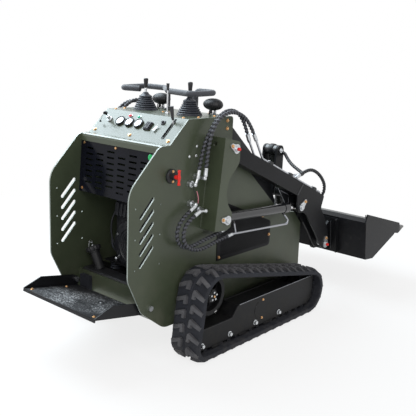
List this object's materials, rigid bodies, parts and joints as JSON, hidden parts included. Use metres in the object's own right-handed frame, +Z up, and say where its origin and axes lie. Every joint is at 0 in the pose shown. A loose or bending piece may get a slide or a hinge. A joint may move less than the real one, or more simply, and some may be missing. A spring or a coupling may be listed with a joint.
{
  "type": "mini track loader",
  "caption": "Compact stand-on track loader with twin loader arms, a tilting bucket on a quick-attach plate, rubber tracks and a fold-up operator platform.",
  "frame": {"origin": "on the ground, in the middle of the machine's length and width", "axes": "+X forward towards the bucket, +Y the machine's left, +Z up"},
  "size_m": [2.4848, 1.12, 1.347],
  "materials": {
    "green_paint": "satin",
    "black_paint": "satin",
    "black_rubber": "matte",
    "chromed_rod": "polished",
    "zinc_plated_steel": "zinc plated",
    "engine_casting": "matte",
    "black_plastic": "matte",
    "foam_grip": "matte",
    "hose_wrap": "satin"
  },
  "bodies": {
    "chassis": {"battery_switch": "black_paint", "belly_pan": "green_paint", "control_deck": "green_paint", "control_panel": "green_paint", "cylinder_hoses_left": "hose_wrap", "cylinder_hoses_right": "hose_wrap", "drive_sprocket_left": "black_paint", "drive_sprocket_right": "black_paint", "engine": "engine_casting", "engine_cradle": "black_paint", "engine_hood": "black_paint", "fuel_filler": "black_plastic", "fuel_tank": "black_plastic", "hand_levers": "black_plastic", "handlebar": "foam_grip", "hose_fittings": "zinc_plated_steel", "instruments": "black_plastic", "joystick_left": "black_rubber", "joystick_right": "black_rubber", "lift_tower_left": "green_paint", "lift_tower_right": "green_paint", "nose_cover": "green_paint", "pivot_pins": "zinc_plated_steel", "platform_bolts": "zinc_plated_steel", "platform_bumper": "black_rubber", "rear_guard": "black_paint", "side_grille_left": "black_paint", "side_grille_right": "black_paint", "side_plate_left": "green_paint", "side_plate_right": "green_paint", "tool_hoses_left": "hose_wrap", "tool_hoses_right": "hose_wrap", "track_frame_left": "black_paint", "track_frame_right": "black_paint", "track_left": "black_rubber", "track_right": "black_rubber", "track_wheels_left": "black_paint", "track_wheels_right": "black_paint", "work_lamps": "black_plastic"},
    "arm": {"arm_crossmember": "black_paint", "arm_pins": "zinc_plated_steel", "arm_pipes": "zinc_plated_steel", "loader_arm_left": "black_paint", "loader_arm_right": "black_paint", "tilt_base_pin": "zinc_plated_steel", "tilt_hoses": "hose_wrap"},
    "lift_barrel_left": {"lift_barrel_left": "black_paint"},
    "lift_rod_left": {"lift_rod_left": "chromed_rod"},
    "lift_barrel_right": {"lift_barrel_right": "black_paint"},
    "lift_rod_right": {"lift_rod_right": "chromed_rod"},
    "tilt_barrel": {"tilt_barrel": "black_paint"},
    "tilt_rod": {"tilt_rod": "chromed_rod"},
    "bucket": {"attach_plate": "black_paint", "tilt_eye_caps": "zinc_plated_steel", "bucket": "black_paint"},
    "platform": {"platform": "black_paint"}
  },
  "joints": [
    {"name": "arm_lift", "type": "hinge", "parent": "chassis", "child": "arm", "pos_m": [-0.4366, 0, 1.032], "axis": [0, -1, 0], "range_deg": [-7.5, 75], "deforming": ["tool_hoses_left", "tool_hoses_right"]},
    {"name": "bucket_tilt", "type": "hinge", "parent": "arm", "child": "bucket", "pos_m": [0.5204, 0, 0.348], "axis": [0, 1, 0], "range_deg": [-4, 85]},
    {"name": "platform_fold", "type": "hinge", "parent": "chassis", "child": "platform", "pos_m": [-0.9176, 0, 0.289], "axis": [0, 1, 0], "range_deg": [0, 80]},
    {"name": "lift_barrel_left_swing", "type": "hinge", "parent": "chassis", "child": "lift_barrel_left", "pos_m": [-0.4816, 0.344, 0.672], "axis": [0, -1, 0], "range_deg": [-6.5, 60], "deforming": ["cylinder_hoses_left"]},
    {"name": "lift_rod_left_slide", "type": "slide", "parent": "lift_barrel_left", "child": "lift_rod_left", "axis": [0.9984, 0, -0.0569], "range_m": [-0.04, 0.376]},
    {"name": "lift_barrel_right_swing", "type": "hinge", "parent": "chassis", "child": "lift_barrel_right", "pos_m": [-0.4816, -0.344, 0.672], "axis": [0, -1, 0], "range_deg": [-6.5, 60], "deforming": ["cylinder_hoses_right"]},
    {"name": "lift_rod_right_slide", "type": "slide", "parent": "lift_barrel_right", "child": "lift_rod_right", "axis": [0.9984, 0, -0.0569], "range_m": [-0.04, 0.376]},
    {"name": "tilt_barrel_swing", "type": "hinge", "parent": "arm", "child": "tilt_barrel", "pos_m": [0.4264, 0, 0.905], "axis": [0, -1, 0], "range_deg": [-1, 6], "deforming": ["tilt_hoses"]},
    {"name": "tilt_rod_slide", "type": "slide", "parent": "tilt_barrel", "child": "tilt_rod", "axis": [0.3197, 0, -0.9475], "range_m": [-0.012, 0.212]}
  ],
  "couplings": [
    {"joint": "lift_barrel_left_swing", "follows": "arm_lift", "ratio": 0.78993},
    {"joint": "lift_rod_left_slide", "follows": "arm_lift", "m_per_rad": 0.28412},
    {"joint": "lift_barrel_right_swing", "follows": "arm_lift", "ratio": 0.78993},
    {"joint": "lift_rod_right_slide", "follows": "arm_lift", "m_per_rad": 0.28412},
    {"joint": "tilt_barrel_swing", "follows": "bucket_tilt", "ratio": 0.047838},
    {"joint": "tilt_rod_slide", "follows": "bucket_tilt", "m_per_rad": 0.13893}
  ]
}
